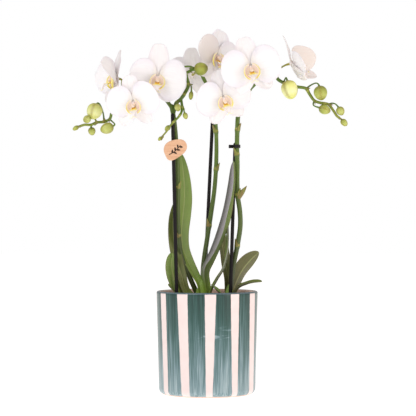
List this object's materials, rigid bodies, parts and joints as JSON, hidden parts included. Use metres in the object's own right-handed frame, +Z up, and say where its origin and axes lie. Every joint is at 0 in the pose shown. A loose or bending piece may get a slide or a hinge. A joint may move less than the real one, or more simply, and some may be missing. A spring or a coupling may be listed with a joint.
{
  "type": "potted orchid",
  "caption": "Moth orchid with arching spikes of white flowers and green buds on stakes, in a round pot with brushed vertical stripes.",
  "frame": {"origin": "centre of the pot's flat underside", "axes": "+Z up along the pot's axis, +X towards the right-hand flower spike, -Y towards the front that the flowers face"},
  "size_m": [0.2977, 0.1104, 0.3977],
  "materials": {
    "pot_glaze": "hand-painted teal stripes on pale pink under a glossy clear glaze",
    "nursery_plastic": "thin dark grey plastic",
    "bark": "rough fir bark chips",
    "stake_plastic": "very dark plastic-coated plant stake",
    "clip_plastic": "black moulded plastic",
    "tag_wood": "pale peach veneer, matte",
    "crown": "fresh green leaf bases, satin",
    "leaf": "thick green leaf with a satin wax bloom",
    "stem": "dark green stem, satin",
    "bud": "pale yellow green bud skin, satin",
    "petal": "soft white petal, matte with fine veins",
    "lip": "white and yellow lip with fine red streaks"
  },
  "bodies": {
    "root": {"bark_mix": "bark", "bud_droop_1": "bud", "bud_droop_2": "bud", "bud_droop_3": "bud", "bud_inner_1": "bud", "bud_inner_2": "bud", "bud_inner_3": "bud", "bud_inner_4": "bud", "bud_left_1": "bud", "bud_left_2": "bud", "bud_left_3": "bud", "bud_left_4": "bud", "bud_left_5": "bud", "bud_right_1": "bud", "bud_right_2": "bud", "bud_right_3": "bud", "bud_right_4": "bud", "bud_right_5": "bud", "clip_left": "clip_plastic", "clip_right": "clip_plastic", "crown_left": "crown", "crown_right": "crown", "flower_left_end": "petal", "flower_left_end_lip": "lip", "flower_left_front": "petal", "flower_left_front_lip": "lip", "flower_left_upper": "petal", "flower_left_upper_lip": "lip", "flower_middle_back": "petal", "flower_middle_back_lip": "lip", "flower_middle_front": "petal", "flower_middle_front_lip": "lip", "flower_middle_upper": "petal", "flower_middle_upper_lip": "lip", "flower_right_end": "petal", "flower_right_end_lip": "lip", "flower_right_front": "petal", "flower_right_front_lip": "lip", "leaf_back_left": "leaf", "leaf_back_right": "leaf", "leaf_front_left": "leaf", "leaf_inner_right": "leaf", "leaf_low_right": "leaf", "leaf_stub_left": "leaf", "leaf_tall_left": "leaf", "leaf_tall_right": "leaf", "leaf_wide_right": "leaf", "leaf_young": "leaf", "nursery_pot": "nursery_plastic", "outer_pot": "pot_glaze", "plant_tag": "tag_wood", "spike_left": "stem", "spike_middle": "stem", "spike_right": "stem", "stake_left": "stake_plastic", "stake_middle": "stake_plastic", "stake_right": "stake_plastic"}
  },
  "joints": []
}
